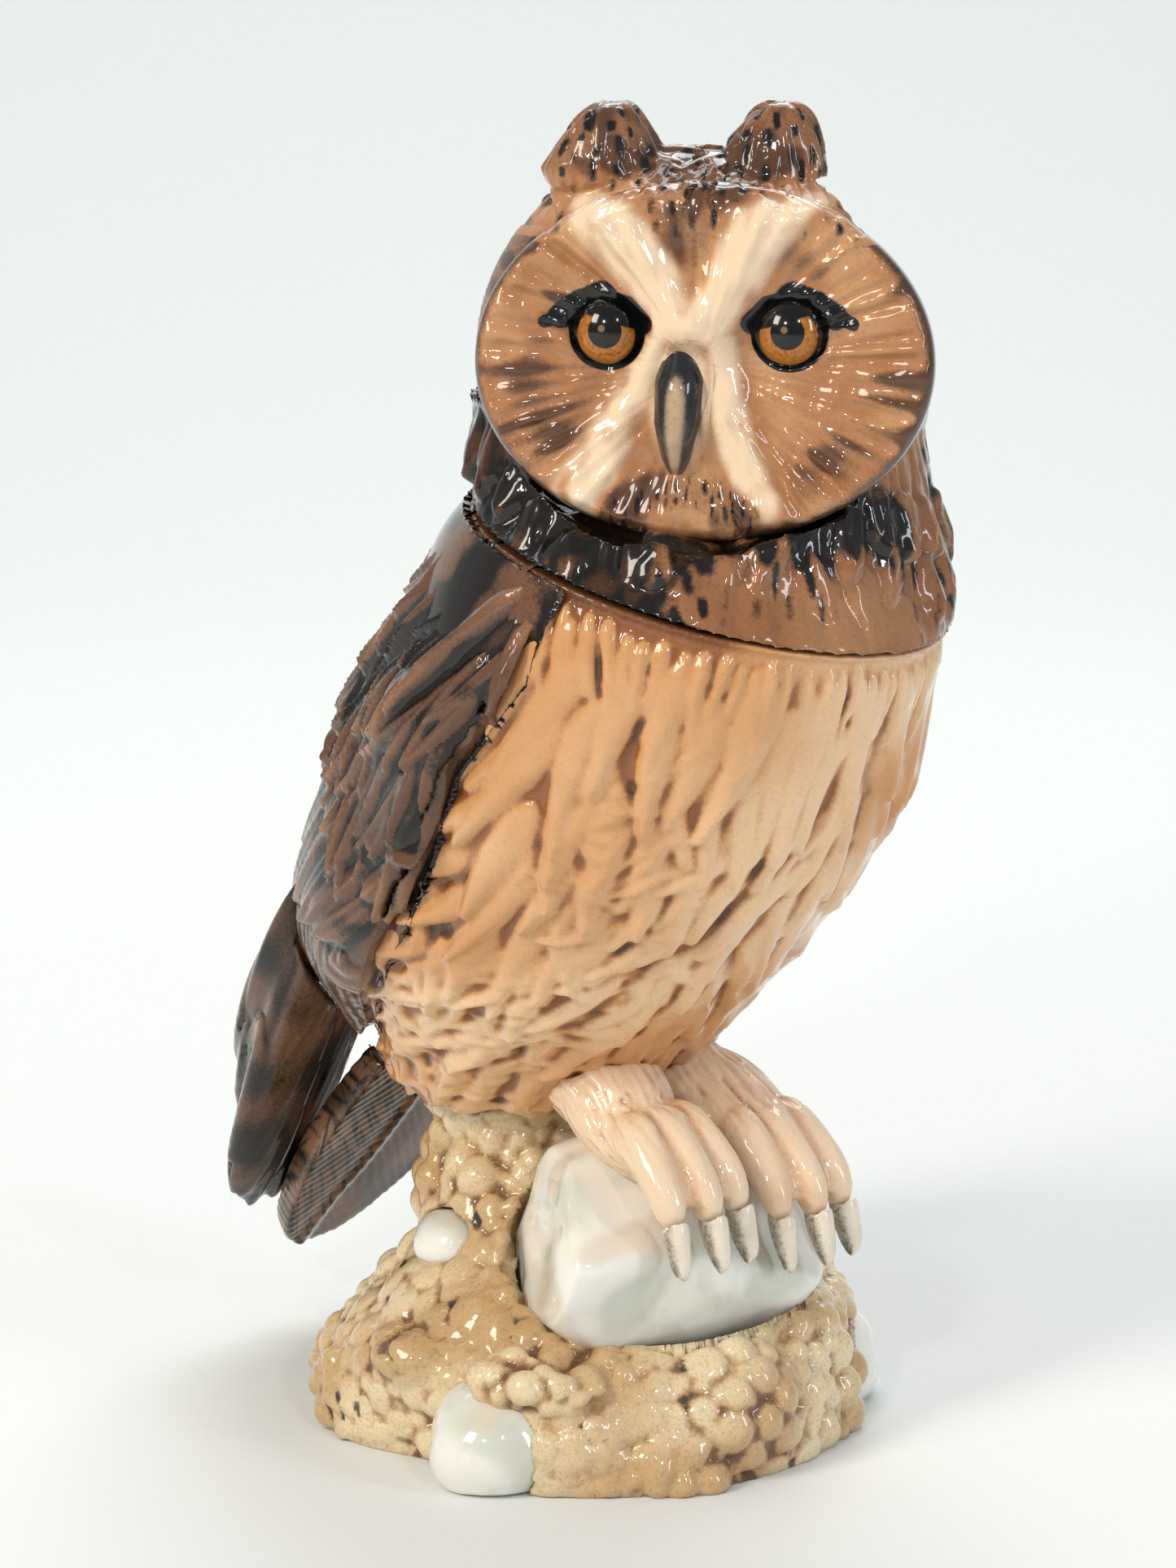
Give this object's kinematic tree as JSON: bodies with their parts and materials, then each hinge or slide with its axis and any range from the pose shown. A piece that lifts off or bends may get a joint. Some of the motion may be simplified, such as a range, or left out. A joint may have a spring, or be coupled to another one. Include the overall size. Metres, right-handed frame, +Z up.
{
  "type": "owl figurine",
  "caption": "Glazed ceramic owl on a rocky mound: a hollow bottle body with folded wings, closed by a lift-off owl head with facial disc, ruff and cork neck.",
  "frame": {"origin": "centre of the foot rim of the mound, on the table the owl stands on", "axes": "+Z up; the owl's face looks along -Y; +X to the right as seen from in front of the face; the body is turned 42 degrees to the owl's left of the face"},
  "size_m": [0.0937, 0.0977, 0.1702],
  "materials": {
    "breast_glaze": "clear gloss glaze over painted cream and brown breast feathers",
    "bare_biscuit": "unglazed matt white biscuit, rubbed by the cork",
    "wing_glaze": "clear gloss glaze over dark brown painted feathers",
    "tail_glaze": "clear gloss glaze over orange-brown feathers with dark bars",
    "leg_glaze": "clear gloss glaze over pinkish-tan feathers",
    "claw_glaze": "gloss grey glaze",
    "stone_glaze": "clear gloss glaze over pale grey-white",
    "mound_glaze": "clear gloss glaze over knobbly ochre ground with brown spots",
    "crown_glaze": "clear gloss glaze over dark streaked feathers",
    "face_glaze": "clear gloss glaze over radiating brown and cream feathers",
    "beak_glaze": "gloss grey-black glaze",
    "eye_glaze": "gloss amber iris round a black pupil",
    "ruff_glaze": "clear gloss glaze over brown feathers with dark dabs",
    "cork": "natural agglomerated cork"
  },
  "bodies": {
    "bottle": {"body_shell": "breast_glaze", "neck_collar": "bare_biscuit", "right_wing": "wing_glaze", "left_wing": "wing_glaze", "right_primaries": "wing_glaze", "left_primaries": "wing_glaze", "tail": "tail_glaze", "right_leg": "leg_glaze", "left_leg": "leg_glaze", "right_toes": "leg_glaze", "left_toes": "leg_glaze", "right_claws": "claw_glaze", "left_claws": "claw_glaze", "perch_rock": "stone_glaze", "front_stone": "stone_glaze", "rear_stone": "stone_glaze", "side_stone": "stone_glaze", "base_mound": "mound_glaze"},
    "head": {"head_shell": "crown_glaze", "facial_disc": "face_glaze", "beak": "beak_glaze", "right_eye": "eye_glaze", "left_eye": "eye_glaze", "right_ear_tuft": "crown_glaze", "left_ear_tuft": "crown_glaze", "neck_ruff": "ruff_glaze", "cork_sleeve": "cork"}
  },
  "joints": [
    {"name": "head_lift", "type": "slide", "parent": "bottle", "child": "head", "axis": [0.2479, -0.1549, 0.9563], "range_m": [0, 0.045]}
  ]
}
